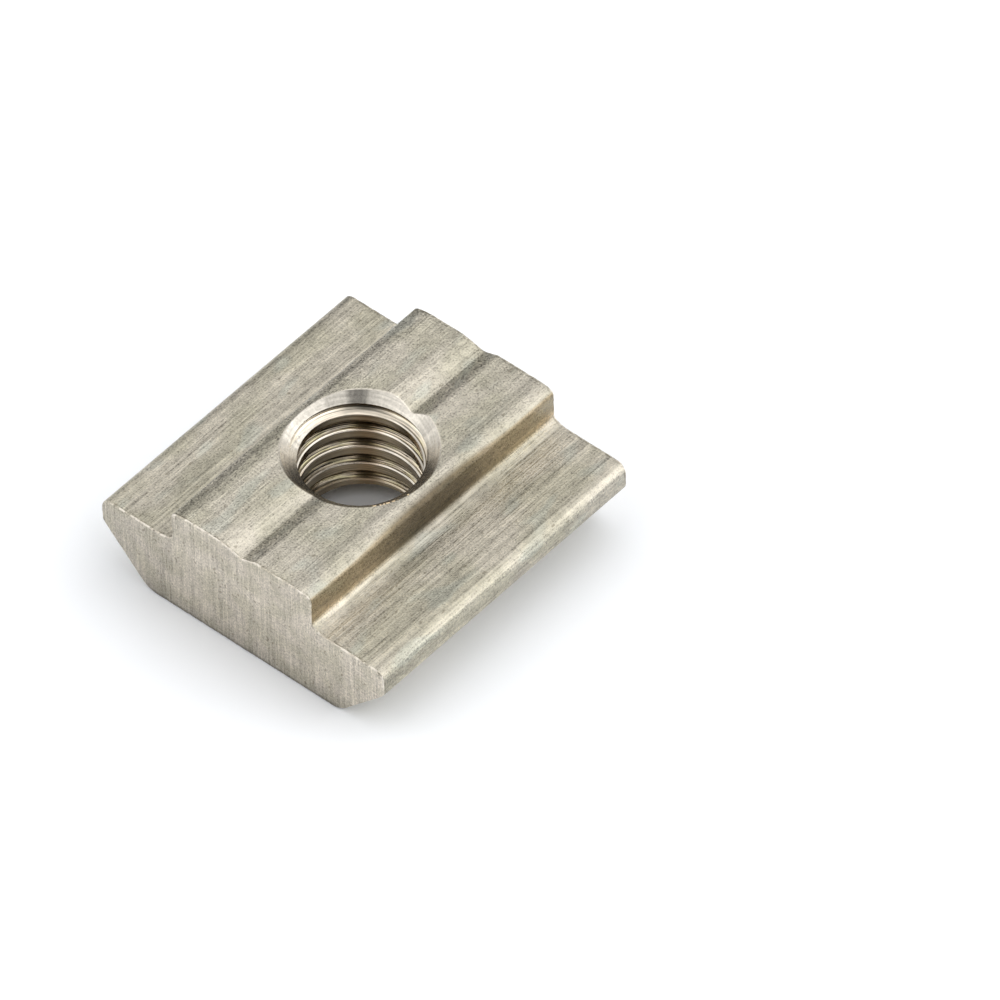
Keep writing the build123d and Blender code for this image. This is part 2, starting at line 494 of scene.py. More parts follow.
line_strength = add_node(
    tree, "ShaderNodeMath", TIMES_PLUS, _0=on_wing, _1=LINE_STRENGTH[1], _2=LINE_STRENGTH[0],
).outputs[0]
band_strength = add_node(
    tree, "ShaderNodeMath", TIMES_PLUS, _0=on_wing, _1=BAND_STRENGTH[1], _2=BAND_STRENGTH[0],
).outputs[0]
lines = grain(tree, place, (0.17, 6.0, 0.17), 2.0, 0.7)
bands = grain(tree, place, (0.6, 12.0, 0.6), 1.0)
speckle = grain(tree, place, (0.1, 0.11, 0.1), 1.0, 0.7)
blotches = grain(tree, place, (0.4, 0.55, 0.4), 1.0)
mottle = grain(tree, place, (1.8, 3.6, 1.8), 1.0)
pit_noise = grain(tree, place, (0.16, 0.34, 0.16), 0.0)
pits = add_node(
    tree, "ShaderNodeMapRange", Value=pit_noise, From_Min=0.48, From_Max=0.7, To_Max=0.45,
).outputs[0]
hue = add_node(tree, "ShaderNodeMapRange", Value=mottle, From_Min=-0.3, From_Max=0.3).outputs[0]
color = add_node(tree, "ShaderNodeMix", BLEND, _0=hue, _6=srgb("#B0AB9B"), _7=srgb("#B6B0A3")).outputs[2]
teal_noise = grain(tree, place, (1.0, 2.4, 1.0), 0.0)
teal = add_node(
    tree, "ShaderNodeMapRange", Value=teal_noise, From_Min=0.25, From_Max=0.5, To_Max=0.3,
).outputs[0]
color = add_node(tree, "ShaderNodeMix", BLEND, _0=teal, _6=color, _7=srgb("#ABB1A9")).outputs[2]
color = shaded(
    tree, color, (lines, line_strength), (bands, band_strength), (speckle, 0.5), (blotches, 0.19),
    (mottle, 0.08),
)
for mark_x, mark_width, mark_shade in MARKS_AND_PAINTED_SHADING:
    off_mark = add_node(tree, "ShaderNodeMath", {"operation": "SUBTRACT"}, _0=x_mm, _1=mark_x).outputs[0]
    off_mark = add_node(tree, "ShaderNodeMath", {"operation": "ABSOLUTE"}, _0=off_mark).outputs[0]
    mark = add_node(
        tree, "ShaderNodeMapRange", SMOOTH, Value=off_mark, From_Min=mark_width * MARK_CORE,
        From_Max=mark_width * MARK_EDGE, To_Min=mark_shade, To_Max=1.0,
    ).outputs[0]
    color = add_node(
        tree, "ShaderNodeVectorMath", {"operation": "SCALE"}, Vector=color, Scale=mark,
    ).outputs[0]
color = add_node(tree, "ShaderNodeMix", BLEND, _0=pits, _6=color, _7=srgb("#5E5644")).outputs[2]

# The lands at the outside of the wings are rubbed a little smoother at their top, and painted a little
# brighter there as a highlight
LAND_RUB = (9.4, 9.57)                # distances from the middle over which the rubbing sets in
LAND_RUB_HEIGHT = (4.0, 4.4)          # and heights
width = add_node(tree, "ShaderNodeMath", {"operation": "ABSOLUTE"}, _0=x_mm).outputs[0]
out_wing = add_node(
    tree, "ShaderNodeMapRange", Value=width, From_Min=LAND_RUB[0], From_Max=LAND_RUB[1],
).outputs[0]
up_land = add_node(
    tree, "ShaderNodeMapRange", Value=z_mm, From_Min=LAND_RUB_HEIGHT[0], From_Max=LAND_RUB_HEIGHT[1],
).outputs[0]
rub_and_highlight = add_node(tree, "ShaderNodeMath", TIMES, _0=out_wing, _1=up_land).outputs[0]
color = shaded(tree, color, (rub_and_highlight, 0.1))

# The wall of the right-hand step is painted darker as shade, broad and deep at the middle of the bar,
# thin and pale towards its ends, where the foot of the wall is painted brighter as light
STEP_SHADE_MIDDLE = (6.5, 0.8)               # distances from the bar's middle: end and full depth of the painted shade
STEP_SHADE_CREEP = (0.14, 0.6)               # how far it creeps from the wall at the ends and at the middle
STEP_SHADE_CORE = 0.3                        # share of that creep under the full shade
STEP_SHADE_FOOT = (5.0, 5.6)                 # heights over which the painted shade sets in
STEP_LIGHT_FOOT = (6.0, 5.3)               # heights over which the painted bright strip sets in, downwards
STEP_LIGHT_WIDTH = (0.3, 0.08)             # distances from the wall over which it sets in
off_wall = add_node(tree, "ShaderNodeMath", {"operation": "SUBTRACT"}, _0=x_mm, _1=half_boss).outputs[0]
off_wall = add_node(tree, "ShaderNodeMath", {"operation": "ABSOLUTE"}, _0=off_wall).outputs[0]
off_middle = add_node(tree, "ShaderNodeMath", {"operation": "ABSOLUTE"}, _0=y_mm).outputs[0]
middle = add_node(
    tree, "ShaderNodeMapRange", SMOOTH, Value=off_middle, From_Min=STEP_SHADE_MIDDLE[0], From_Max=STEP_SHADE_MIDDLE[1],
).outputs[0]
creep = add_node(
    tree, "ShaderNodeMapRange", Value=middle, To_Min=STEP_SHADE_CREEP[0], To_Max=STEP_SHADE_CREEP[1],
).outputs[0]
by_wall = add_node(tree, "ShaderNodeMath", {"operation": "DIVIDE"}, _0=off_wall, _1=creep).outputs[0]
by_wall = add_node(tree, "ShaderNodeMapRange", Value=by_wall, From_Min=1.0, From_Max=STEP_SHADE_CORE).outputs[0]
up_wall = add_node(
    tree, "ShaderNodeMapRange", SMOOTH, Value=z_mm, From_Min=STEP_SHADE_FOOT[0], From_Max=STEP_SHADE_FOOT[1],
).outputs[0]
step_shade_color = add_node(
    tree, "ShaderNodeMix", BLEND, _0=middle, _6=srgb("#E6D9C6"), _7=srgb("#938A7C"),
).outputs[2]
step_shade = add_node(tree, "ShaderNodeMath", TIMES, _0=by_wall, _1=up_wall).outputs[0]
step_shade_color = add_node(tree, "ShaderNodeMix", BLEND, _0=step_shade, _6=srgb("#FFFFFF"), _7=step_shade_color).outputs[2]
color = add_node(tree, "ShaderNodeVectorMath", TIMES, _0=color, _1=step_shade_color).outputs[0]
foot_of_wall = add_node(
    tree, "ShaderNodeMapRange", SMOOTH, Value=z_mm, From_Min=STEP_LIGHT_FOOT[0], From_Max=STEP_LIGHT_FOOT[1],
).outputs[0]
on_wall = add_node(
    tree, "ShaderNodeMapRange", Value=off_wall, From_Min=STEP_LIGHT_WIDTH[0], From_Max=STEP_LIGHT_WIDTH[1],
).outputs[0]
step_light = add_node(tree, "ShaderNodeMath", TIMES, _0=foot_of_wall, _1=on_wall).outputs[0]
clear = add_node(tree, "ShaderNodeMapRange", Value=middle, To_Min=1.0, To_Max=0.15).outputs[0]
step_light = add_node(tree, "ShaderNodeMath", TIMES, _0=step_light, _1=clear).outputs[0]
color = shaded(tree, color, (step_light, 0.5))

# A line along the countersink's rim, painted bright as a highlight, and dark on the front side, with a
# few bright ticks. Dark nicks lie along the sawn edges.
RIM_LINE = (0.1, 0.06)                # distances outside the rim at which the line starts and is full
FRONT_SIDE = (0.66, -0.75, 0)         # direction from the hole's axis to the rim's front side
FRONT_START, FRONT_FULL = -1.0, 2.0   # distances that way over which the line darkens
TICK_SIDE = (0.903, -0.429, 0)        # direction from the hole's axis to the ticks
TICK_START, TICK_FULL = 4.0, 4.1      # distances that way over which they set in
NICK_START, NICK_FULL = 0.24, 0.1     # distances from the sawn faces over which the nicks set in
by_end = add_node(
    tree, "ShaderNodeMapRange", Value=off_middle, From_Min=NUT_LENGTH / 2 - NICK_START,
    From_Max=NUT_LENGTH / 2 - NICK_FULL,
).outputs[0]
flat_place = add_node(
    tree, "ShaderNodeMapping", Vector=place, Location=(-HOLE_X, 0, 0), Scale=(1, 1, 0),
).outputs[0]
from_axis = add_node(
    tree, "ShaderNodeVectorMath", {"operation": "LENGTH"}, _0=flat_place,
).outputs["Value"]
off_rim = add_node(tree, "ShaderNodeMath", {"operation": "SUBTRACT"}, _0=from_axis, _1=z_mm).outputs[0]
by_rim = add_node(
    tree, "ShaderNodeMapRange", Value=off_rim, From_Min=RIM_RADIUS - THICKNESS + RIM_LINE[0],
    From_Max=RIM_RADIUS - THICKNESS + RIM_LINE[1], To_Max=0.9,
).outputs[0]
front_side = add_node(
    tree, "ShaderNodeVectorMath", {"operation": "DOT_PRODUCT"}, _0=flat_place, _1=FRONT_SIDE,
).outputs["Value"]
front_side = add_node(
    tree, "ShaderNodeMapRange", Value=front_side, From_Min=FRONT_START, From_Max=FRONT_FULL,
).outputs[0]
nick_noise = grain(tree, place, (0.32, 0.16, 0.32), 1.0)
tick_place = add_node(
    tree, "ShaderNodeVectorMath", {"operation": "DOT_PRODUCT"}, _0=flat_place, _1=TICK_SIDE,
).outputs["Value"]
tick_place = add_node(
    tree, "ShaderNodeMapRange", Value=tick_place, From_Min=TICK_START, From_Max=TICK_FULL,
).outputs[0]
ticks = add_node(tree, "ShaderNodeMapRange", Value=nick_noise, From_Min=0.0, From_Max=0.1).outputs[0]
ticks = add_node(tree, "ShaderNodeMath", TIMES, _0=ticks, _1=tick_place).outputs[0]
dark_rim = add_node(
    tree, "ShaderNodeMix", BLEND, _0=ticks, _6=srgb("#453D30"), _7=srgb("#DDC6A0"),
).outputs[2]
rim_color = add_node(
    tree, "ShaderNodeMix", BLEND, _0=front_side, _6=srgb("#DDD6C9"), _7=dark_rim,
).outputs[2]
color = add_node(tree, "ShaderNodeMix", BLEND, _0=by_rim, _6=color, _7=rim_color).outputs[2]
nicks = add_node(
    tree, "ShaderNodeMapRange", Value=nick_noise, From_Min=-0.05, From_Max=0.25, To_Max=0.6,
).outputs[0]
nicks = add_node(tree, "ShaderNodeMath", TIMES, _0=nicks, _1=by_end).outputs[0]
color = add_node(tree, "ShaderNodeMix", BLEND, _0=nicks, _6=color, _7=srgb("#5E5644")).outputs[2]
rough = add_node(
    tree, "ShaderNodeMath", TIMES_PLUS, _0=on_wing, _1=SKIN_ROUGHNESS[1], _2=SKIN_ROUGHNESS[0],
).outputs[0]
rough = add_node(
    tree, "ShaderNodeMath", TIMES_PLUS, _0=rub_and_highlight, _1=-0.12, _2=rough,
).outputs[0]
rough = add_node(tree, "ShaderNodeMath", TIMES_PLUS, _0=speckle, _1=0.3, _2=rough).outputs[0]
relief = add_node(tree, "ShaderNodeMath", TIMES_PLUS, _0=speckle, _1=0.7, _2=lines).outputs[0]
bump = add_node(tree, "ShaderNodeBump", Strength=1.0, Distance=BUMP_HEIGHT, Height=relief)
shader.inputs["Metallic"].default_value = 1.0
tree.links.new(color, shader.inputs["Base Color"])
tree.links.new(rough, shader.inputs["Roughness"])
tree.links.new(bump.outputs[0], shader.inputs["Normal"])

# Sawn steel: fine blade lines across the thickness and specks, duller left of a faint witness line,
# painted darker towards the foot as shade and darkest, as a painted contact shadow, where it meets the
# table. Along its edges above the bevels runs a thin bright burr, painted as a highlight. Lines and
# specks are drawn coarser than the real ones, which are too fine to show.
FOOT_SHADE = (1.4, 0.72)              # height up to which the face is painted darker as shade, and that shade at the foot
WITNESS_X, WITNESS_WIDTH = -4.8, 0.1  # place of the witness line and how softly it starts
WITNESS_SHADE = 0.93
CONTACT_SHADOW = (0.05, 0.3, 0.5)            # heights over which the painted contact shadow at the foot fades, and its shade
BURR_START, BURR_FULL = 0.002, 0.02   # how far the rounded edge has left the face where the burr sets in
BURR_HEIGHT = (3.0, 4.2)              # heights over which the burr sets in
sawn, tree, shader = new_material("sawn_steel")
place = in_millimetres(tree)
x_mm, y_mm, z_mm = add_node(tree, "ShaderNodeSeparateXYZ", Vector=place).outputs
lines = grain(tree, place, (0.13, 1.0, 3.5), 2.0, 0.7)
speckle = grain(tree, place, (0.1, 0.1, 0.13), 1.0, 0.7)
blotches = grain(tree, place, (0.4, 0.4, 0.5), 1.0)
mottle = grain(tree, place, (1.4, 1.4, 1.4), 1.0)
hue = add_node(tree, "ShaderNodeMapRange", Value=mottle, From_Min=-0.3, From_Max=0.3).outputs[0]
color = add_node(tree, "ShaderNodeMix", BLEND, _0=hue, _6=srgb("#BFB8A8"), _7=srgb("#C5BDB0")).outputs[2]
color = shaded(tree, color, (lines, 0.22), (speckle, 0.4), (blotches, 0.12), (mottle, 0.06))
pit_noise = grain(tree, place, (0.2, 0.2, 0.24), 0.0)
pits = add_node(
    tree, "ShaderNodeMapRange", Value=pit_noise, From_Min=0.5, From_Max=0.7, To_Max=0.5,
).outputs[0]
color = add_node(tree, "ShaderNodeMix", BLEND, _0=pits, _6=color, _7=srgb("#6E6455")).outputs[2]
foot_shade = add_node(
    tree, "ShaderNodeMapRange", Value=z_mm, From_Min=0.0, From_Max=FOOT_SHADE[0],
    To_Min=FOOT_SHADE[1], To_Max=1.0,
).outputs[0]
witness = add_node(
    tree, "ShaderNodeMapRange", Value=x_mm, From_Min=WITNESS_X, From_Max=WITNESS_X - WITNESS_WIDTH,
    To_Min=1.0, To_Max=WITNESS_SHADE,
).outputs[0]
contact_shadow = add_node(
    tree, "ShaderNodeMapRange", Value=z_mm, From_Min=CONTACT_SHADOW[0], From_Max=CONTACT_SHADOW[1],
    To_Min=CONTACT_SHADOW[2], To_Max=1.0,
).outputs[0]
witness_and_shade = add_node(tree, "ShaderNodeMath", TIMES, _0=foot_shade, _1=witness).outputs[0]
witness_and_shade = add_node(tree, "ShaderNodeMath", TIMES, _0=witness_and_shade, _1=contact_shadow).outputs[0]
color = add_node(
    tree, "ShaderNodeVectorMath", {"operation": "SCALE"}, Vector=color, Scale=witness_and_shade,
).outputs[0]
from_middle = add_node(tree, "ShaderNodeMath", {"operation": "ABSOLUTE"}, _0=y_mm).outputs[0]
at_edge = add_node(
    tree, "ShaderNodeMapRange", Value=from_middle, From_Min=NUT_LENGTH / 2 - BURR_START,
    From_Max=NUT_LENGTH / 2 - BURR_FULL,
).outputs[0]
# The burr along the edge is painted bright as a highlight
burr_noise = grain(tree, place, (0.5, 0.5, 0.5), 2.0, 0.7)
burr_highlight = add_node(
    tree, "ShaderNodeMapRange", Value=burr_noise, From_Min=-0.1, From_Max=0.35, To_Max=0.75,
).outputs[0]
above = add_node(
    tree, "ShaderNodeMapRange", Value=z_mm, From_Min=BURR_HEIGHT[0], From_Max=BURR_HEIGHT[1],
).outputs[0]
burr_highlight = add_node(tree, "ShaderNodeMath", TIMES, _0=burr_highlight, _1=at_edge).outputs[0]
burr_highlight = add_node(tree, "ShaderNodeMath", TIMES, _0=burr_highlight, _1=above).outputs[0]
color = add_node(tree, "ShaderNodeMix", BLEND, _0=burr_highlight, _6=color, _7=srgb("#EAE3D8")).outputs[2]
relief = add_node(tree, "ShaderNodeMath", TIMES_PLUS, _0=speckle, _1=0.7, _2=lines).outputs[0]
bump = add_node(tree, "ShaderNodeBump", Strength=1.0, Distance=BUMP_HEIGHT, Height=relief)
shader.inputs["Metallic"].default_value = 1.0
shader.inputs["Roughness"].default_value = 0.46
tree.links.new(color, shader.inputs["Base Color"])
tree.links.new(bump.outputs[0], shader.inputs["Normal"])


def side_shade(tree, color, around, middle, reach, strength):
    """The colour painted darker as shade on one side of the hole: deepest at the middle and gone at its
    reach to either side, both in degrees round the axis. around is the run along the major circle."""
    middle_run = math.radians(middle) * MAJOR_RADIUS
    reach_run = math.radians(reach) * MAJOR_RADIUS
    off_film = add_node(
        tree, "ShaderNodeMath", {"operation": "SUBTRACT"}, _0=around, _1=middle_run,
    ).outputs[0]
    off_film = add_node(tree, "ShaderNodeMath", {"operation": "ABSOLUTE"}, _0=off_film).outputs[0]
    shade = add_node(
        tree, "ShaderNodeMapRange", SMOOTH, Value=off_film, From_Min=reach_run, From_Max=0.0,
        To_Min=1.0, To_Max=1 - strength,
    ).outputs[0]
    return add_node(
        tree, "ShaderNodeVectorMath", {"operation": "SCALE"}, Vector=color, Scale=shade,
    ).outputs[0]


# Countersunk steel: bright cut metal with the tool's fine turning lines round the cone, small flecks and
# a few facets where the tool chattered. Its left and its right side are painted darker as shade.
FACET_WIDTH = 1.1                     # facets that the chattering tool left round the cone
CONE_LEFT_SHADE = (176, 30, 0.3)        # middle and reach in degrees round the axis, and strength
CONE_RIGHT_SHADE = (62, 62, 0.14)
CONE_BUMP = 0.000006                  # relief of the turning lines and facets, 6 micrometres
cut, tree, shader = new_material("countersunk_steel")
run = add_node(tree, "ShaderNodeUVMap", {"uv_map": "thread_run"}).outputs[0]
around = add_node(tree, "ShaderNodeSeparateXYZ", Vector=run).outputs[0]
rings = grain(tree, run, (2.5, 0.12, 1.0), 1.0)
facets = grain(tree, run, (0.5, 3.0, 1.0), 1.0)
flecks = grain(tree, run, (0.16, 0.12, 1.0), 1.0)
chatter = add_node(
    tree, "ShaderNodeTexVoronoi", {"voronoi_dimensions": "1D"}, W=around, Scale=1 / FACET_WIDTH,
).outputs["Color"]
chatter = add_node(tree, "ShaderNodeSeparateXYZ", Vector=chatter).outputs[0]
chatter = add_node(tree, "ShaderNodeMath", {"operation": "SUBTRACT"}, _0=chatter, _1=0.5).outputs[0]
color = shaded(tree, srgb("#D6D0C5")[:3], (rings, 0.25), (facets, 0.14), (flecks, 0.16), (chatter, 0.22))
color = side_shade(tree, color, around, *CONE_LEFT_SHADE)
color = side_shade(tree, color, around, *CONE_RIGHT_SHADE)
relief = add_node(tree, "ShaderNodeMath", TIMES_PLUS, _0=rings, _1=0.3, _2=facets).outputs[0]
bump = add_node(tree, "ShaderNodeBump", Strength=1.0, Distance=CONE_BUMP, Height=relief)
shader.inputs["Metallic"].default_value = 1.0
shader.inputs["Roughness"].default_value = 0.26
tree.links.new(color, shader.inputs["Base Color"])
tree.links.new(bump.outputs[0], shader.inputs["Normal"])

# Tapped steel: grey-brown crests that the tap burnished, each with one bright corner painted as a
# highlight, and brown oily flanks with torn lines along the helix, painted dark as shade where they
# leave the corner and in the roots. Both sides of the bore are painted darker as shade. Near the mouth
# the first turn is painted as bright as the cone as painted light, with painted brown shade under the
# cone's far side, and the lowest crest gets less of the painted highlight.
CORNER = (0.215, 0.25)                # above the middle of a crest: its painted highlight on the corner sets in,
FLANK = (0.283, 0.3)                  # either side of that middle: the flank sets in,
TORN_FLANK = (0.315, 0.34)            # then its torn part,
ROOT = (0.4, 0.48)                    # and the root, painted dark as shade
LIP_START, LIP_FULL = 0.4, 0.34       # above the crest's middle: the bright lip of the first turn
MOUTH_START, MOUTH_FULL = 0.16, 0.2   # above the crest's middle: the mouth's metal, painted bright as light, sets in,
MOUTH_DEPTH = (1.15, 1.05)            # and so far below the boss top
DULL_CREST = (1.6, 1.9, 0.2)          # heights over which the corners' painted highlight sets in, and the share of it below
BRIGHT_SIDE = (100, 80)               # degrees round the axis over which even the lowest corner gets the full painted highlight
CORNER_SHADE = (58, 62, 0.45)           # painted shade on one side: middle and reach in degrees, and strength
THREAD_SIDE_SHADE = (176, 56, 0.38)
FAR_SIDE_SHADE = (126, 22, 1.0)
MOUTH_WALL_SHADE = (125, 30, 0.75)
TEAR_STRENGTH = (0.55, 0.35)          # of the tears on the crests, and how much more on the flanks
POLISH = 0.15                         # roughness of crests and flanks
LIP_ROUGHNESS = 0.18                  # what the first turn's lip adds to it
MOUTH_SHARE = 1.2                     # and the mouth's bright metal adds this many times as much
TEAR_HEIGHT = 0.000015                # relief of the tears, 15 micrometres
tapped_steel, tree, shader = new_material("tapped_steel")
run = add_node(tree, "ShaderNodeUVMap", {"uv_map": "thread_run"}).outputs[0]
around, across, _ = add_node(tree, "ShaderNodeSeparateXYZ", Vector=run).outputs
above_crest = add_node(
    tree, "ShaderNodeMath", {"operation": "WRAP"}, _0=across, _1=THREAD_PITCH / 2, _2=-THREAD_PITCH / 2,
).outputs[0]
off_crest = add_node(tree, "ShaderNodeMath", {"operation": "ABSOLUTE"}, _0=above_crest).outputs[0]
corner_highlight = add_node(
    tree, "ShaderNodeMapRange", Value=above_crest, From_Min=CORNER[0], From_Max=CORNER[1],
).outputs[0]
height = add_node(tree, "ShaderNodeSeparateXYZ", Vector=in_millimetres(tree)).outputs[2]
above_lowest = add_node(
    tree, "ShaderNodeMapRange", Value=height, From_Min=DULL_CREST[0], From_Max=DULL_CREST[1],
    To_Min=DULL_CREST[2],
).outputs[0]
bright_side = add_node(
    tree, "ShaderNodeMapRange", Value=around, From_Min=math.radians(BRIGHT_SIDE[0]) * MAJOR_RADIUS,
    From_Max=math.radians(BRIGHT_SIDE[1]) * MAJOR_RADIUS,
).outputs[0]
kept_bright = add_node(
    tree, "ShaderNodeMath", {"operation": "MAXIMUM"}, _0=above_lowest, _1=bright_side,
).outputs[0]
corner_highlight = add_node(tree, "ShaderNodeMath", TIMES, _0=corner_highlight, _1=kept_bright).outputs[0]
# The corner's painted highlight, dimmed on the right side as painted shade
corner_highlight_color = side_shade(tree, srgb("#F2EADC")[:3], around, *CORNER_SHADE)
crest_color = add_node(
    tree, "ShaderNodeMix", BLEND, _0=corner_highlight, _6=srgb("#B3A48B"), _7=corner_highlight_color,
).outputs[2]
on_flank = add_node(
    tree, "ShaderNodeMapRange", Value=off_crest, From_Min=FLANK[0], From_Max=FLANK[1],
).outputs[0]
up_flank = add_node(
    tree, "ShaderNodeMapRange", Value=off_crest, From_Min=TORN_FLANK[0], From_Max=TORN_FLANK[1],
).outputs[0]
root_shade = add_node(
    tree, "ShaderNodeMapRange", Value=off_crest, From_Min=ROOT[0], From_Max=ROOT[1],
).outputs[0]
tears = grain(tree, run, (7.0, 0.08, 1.0), 2.0, 0.7)
tear_strength = add_node(
    tree, "ShaderNodeMath", TIMES_PLUS, _0=on_flank, _1=TEAR_STRENGTH[1], _2=TEAR_STRENGTH[0],
).outputs[0]
tint = grain(tree, run, (1.4, 0.14, 1.0), 0.0)
tint = add_node(tree, "ShaderNodeMapRange", Value=tint, From_Min=-0.2, From_Max=0.25).outputs[0]
torn_color = add_node(
    tree, "ShaderNodeMix", BLEND, _0=tint, _6=srgb("#C6BBAA"), _7=srgb("#BCB392"),
).outputs[2]
# The flank is painted dark as shade where it leaves the corner, lighter on its torn part, and the root
# dark as shade
flank_color = add_node(
    tree, "ShaderNodeMix", BLEND, _0=up_flank, _6=srgb("#7F725A"), _7=torn_color,
).outputs[2]
color = add_node(tree, "ShaderNodeMix", BLEND, _0=on_flank, _6=crest_color, _7=flank_color).outputs[2]
color = add_node(tree, "ShaderNodeMix", BLEND, _0=root_shade, _6=color, _7=srgb("#75674F")).outputs[2]
# Painted brown shade on the far side of the bore, then painted shade on its left side
far_shade = side_shade(tree, (1.0, 1.0, 1.0), around, *FAR_SIDE_SHADE)
far_shade = add_node(tree, "ShaderNodeSeparateXYZ", Vector=far_shade).outputs[0]
far_shade_tint = add_node(
    tree, "ShaderNodeMix", BLEND, _0=far_shade, _6=srgb("#D6C8BA"), _7=srgb("#FFFFFF"),
).outputs[2]
color = add_node(tree, "ShaderNodeVectorMath", TIMES, _0=color, _1=far_shade_tint).outputs[0]
color = side_shade(tree, color, around, *THREAD_SIDE_SHADE)
# The first turn near the mouth is painted as bright as the cone, as painted light; the same mask makes
# it rougher, as wear
mouth_light_and_wear = add_node(
    tree, "ShaderNodeMapRange", Value=height, From_Min=THICKNESS - MOUTH_DEPTH[0],
    From_Max=THICKNESS - MOUTH_DEPTH[1],
).outputs[0]
on_lip = add_node(
    tree, "ShaderNodeMapRange", Value=above_crest, From_Min=LIP_START, From_Max=LIP_FULL,
).outputs[0]
wall_color = side_shade(tree, srgb("#E0D6C4")[:3], around, *MOUTH_WALL_SHADE)
mouth_color = add_node(
    tree, "ShaderNodeMix", BLEND, _0=on_lip, _6=wall_color, _7=srgb("#D2C9BA"),
).outputs[2]
above_middle = add_node(
    tree, "ShaderNodeMapRange", Value=above_crest, From_Min=MOUTH_START, From_Max=MOUTH_FULL,
).outputs[0]
mouth_light_and_wear = add_node(tree, "ShaderNodeMath", TIMES, _0=mouth_light_and_wear, _1=above_middle).outputs[0]
color = add_node(tree, "ShaderNodeMix", BLEND, _0=mouth_light_and_wear, _6=color, _7=mouth_color).outputs[2]
on_lip = add_node(tree, "ShaderNodeMath", TIMES, _0=on_lip, _1=mouth_light_and_wear).outputs[0]
worn = add_node(
    tree, "ShaderNodeMath", TIMES_PLUS, _0=mouth_light_and_wear, _1=MOUTH_SHARE, _2=on_lip,
).outputs[0]
rough = add_node(
    tree, "ShaderNodeMath", TIMES_PLUS, _0=worn, _1=LIP_ROUGHNESS, _2=POLISH,
).outputs[0]
stain = grain(tree, run, (1.3, 0.3, 1.0), 2.0, 0.6)
color = shaded(tree, color, (tears, tear_strength), (stain, 0.24))
torn = add_node(tree, "ShaderNodeMath", TIMES, _0=tears, _1=on_flank).outputs[0]
bump = add_node(tree, "ShaderNodeBump", Strength=1.0, Distance=TEAR_HEIGHT, Height=torn)
shader.inputs["Metallic"].default_value = 1.0
tree.links.new(color, shader.inputs["Base Color"])
tree.links.new(rough, shader.inputs["Roughness"])
tree.links.new(bump.outputs[0], shader.inputs["Normal"])

for material in (drawn, sawn, cut, tapped_steel):
    nut_mesh.materials.append(material)
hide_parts("t_nut")
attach(t_nut, "root")


# Floor. A plain white table under the nut, painted matt, so that it takes a soft shadow and gives
# the steel no mirror image. It is stage and no part of the nut.
FLOOR_HALF = 3.0           # half its side, in metres
floor_corners = FLOOR_HALF * np.array([(-1, -1, 0), (1, -1, 0), (1, 1, 0), (-1, 1, 0)])
floor_mesh = bpy.data.meshes.new("floor")
floor_mesh.from_pydata(floor_corners, [], [(0, 1, 2, 3)])
floor = bpy.data.objects.new("floor", floor_mesh)
bpy.context.scene.collection.objects.link(floor)
floor_paint, tree, shader = new_material("white_table")
shader.inputs["Base Color"].default_value = srgb("#FAFCFF")
shader.inputs["Roughness"].default_value = 0.9
shader.inputs["Specular IOR Level"].default_value = 0.1
floor_mesh.materials.append(floor_paint)


# Light. A wide white ceiling that falls off towards the horizon and brightens to both sides, a
# softbox high on the right and a white card low on the right, and the dark shape of the camera
# itself, which the bright cut steel mirrors.
CAMERA_AZIMUTH, CAMERA_ELEVATION, CAMERA_ROLL = 41.617, 47.123, -1.193
HORIZON_LIGHT, CEILING_LIGHT = 0.19, 1.38
HORIZON_RISE, CEILING_RISE = 0.12, 0.95         # sines of the heights where each is reached
SIDE_POWER, SIDE_LIGHT = 4.0, 1.5               # how narrow the two bright sides are, and their light
LAMPS = (            # degrees round from the camera and up, cosines at edge and core, light
    (110, 58, 0.84, 0.97, 0.6),
    (80, 18, 0.8, 0.96, 0.55),
)
SHAPE_EDGE, SHAPE_CORE = 0.21, 0.15             # half width of the camera's shape, outside and inside
FRONT_EDGE, FRONT_CORE = 0.1, 0.25              # how far the shape reaches round to the sides
SHAPE_LIGHT = 0.08                              # share of the light that is left in front of it


def towards(azimuth, elevation):
    """Unit vector from the nut: azimuth 0 is -Y and 90 is +X, in degrees."""
    a, e = math.radians(azimuth), math.radians(elevation)
    return Vector((math.sin(a) * math.cos(e), -math.cos(a) * math.cos(e), math.sin(e)))


world = bpy.data.worlds.new("studio")
bpy.context.scene.world = world
world.use_nodes = True
tree = world.node_tree
direction = add_node(tree, "ShaderNodeTexCoord").outputs["Generated"]
toward_camera, to_the_right, upward = (
    add_node(
        tree, "ShaderNodeVectorMath", {"operation": "DOT_PRODUCT"}, _0=direction, _1=axis,
    ).outputs["Value"]
    for axis in (towards(CAMERA_AZIMUTH, 0), towards(CAMERA_AZIMUTH + 90, 0), Vector((0, 0, 1)))
)
overhead = add_node(
    tree, "ShaderNodeMapRange", SMOOTH, Value=upward, From_Min=HORIZON_RISE, From_Max=CEILING_RISE,
    To_Min=HORIZON_LIGHT, To_Max=CEILING_LIGHT,
).outputs[0]
sideways = add_node(tree, "ShaderNodeMath", {"operation": "ABSOLUTE"}, _0=to_the_right).outputs[0]
beside = add_node(tree, "ShaderNodeMath", {"operation": "POWER"}, _0=sideways, _1=SIDE_POWER).outputs[0]
light = add_node(
    tree, "ShaderNodeMath", TIMES_PLUS, _0=beside, _1=SIDE_LIGHT, _2=overhead,
).outputs[0]
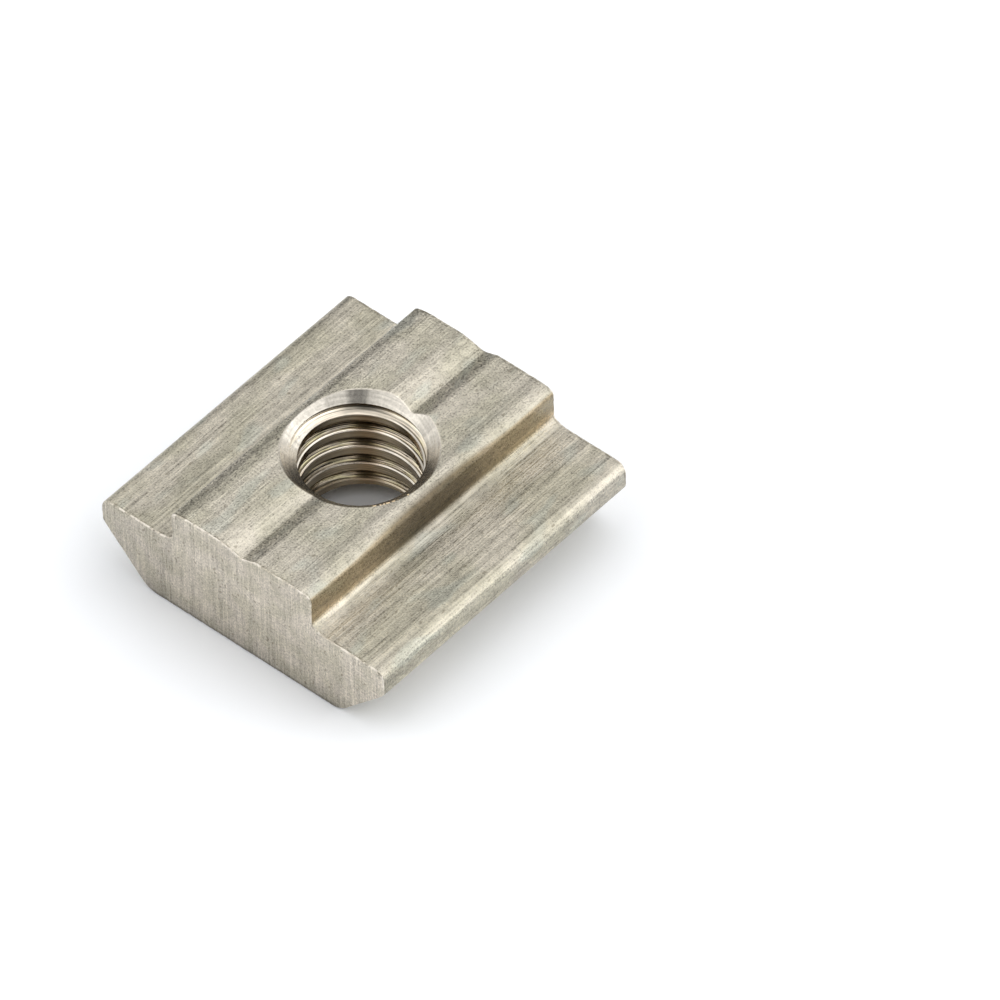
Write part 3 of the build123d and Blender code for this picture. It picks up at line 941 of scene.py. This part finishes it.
for lamp_turn, lamp_rise, lamp_edge, lamp_core, lamp_light in LAMPS:
    lamp_direction = towards(CAMERA_AZIMUTH + lamp_turn, lamp_rise)
    off_lamp = add_node(
        tree, "ShaderNodeVectorMath", {"operation": "DOT_PRODUCT"}, _0=direction, _1=lamp_direction,
    ).outputs["Value"]
    lamp = add_node(
        tree, "ShaderNodeMapRange", SMOOTH, Value=off_lamp, From_Min=lamp_edge, From_Max=lamp_core,
        To_Max=lamp_light,
    ).outputs[0]
    light = add_node(tree, "ShaderNodeMath", {"operation": "ADD"}, _0=light, _1=lamp).outputs[0]
beside_shape = add_node(
    tree, "ShaderNodeMapRange", Value=sideways, From_Min=SHAPE_EDGE, From_Max=SHAPE_CORE,
).outputs[0]
in_front = add_node(
    tree, "ShaderNodeMapRange", Value=toward_camera, From_Min=FRONT_EDGE, From_Max=FRONT_CORE,
).outputs[0]
behind_shape = add_node(tree, "ShaderNodeMath", TIMES, _0=beside_shape, _1=in_front).outputs[0]
unhidden = add_node(
    tree, "ShaderNodeMapRange", Value=behind_shape, To_Min=1.0, To_Max=SHAPE_LIGHT,
).outputs[0]
light = add_node(tree, "ShaderNodeMath", TIMES, _0=light, _1=unhidden).outputs[0]
tree.links.new(light, tree.nodes["Background"].inputs["Strength"])
tree.nodes["Background"].inputs["Color"].default_value = (1, 1, 1, 1)


# Camera. A long lens that looks down at the nut. Its place, direction, roll and focal length were
# worked out from the nut's corners in the photograph.
SENSOR = 36.0              # width of the sensor, in millimetres
IMAGE = 1000               # side of the picture, in pixels
FOCAL_PIXELS = 15993.05
CAMERA_PLACE = (0.383379, -0.420886, 0.616336)       # metres
camera_data = bpy.data.cameras.new("camera")
camera_data.sensor_width = SENSOR
camera_data.lens = FOCAL_PIXELS / IMAGE * SENSOR
camera_data.clip_start = 0.05
camera_data.clip_end = 20
camera = bpy.data.objects.new("camera", camera_data)
bpy.context.scene.collection.objects.link(camera)
back = towards(CAMERA_AZIMUTH, CAMERA_ELEVATION)
level_right = towards(CAMERA_AZIMUTH + 90, 0)
level_up = back.cross(level_right)
roll = math.radians(CAMERA_ROLL)
right = math.cos(roll) * level_right + math.sin(roll) * level_up
up = -math.sin(roll) * level_right + math.cos(roll) * level_up
turned = Matrix((right, up, back)).transposed().to_4x4()
camera.matrix_world = Matrix.Translation(CAMERA_PLACE) @ turned
bpy.context.scene.camera = camera
bpy.context.scene.view_settings.view_transform = "Standard"
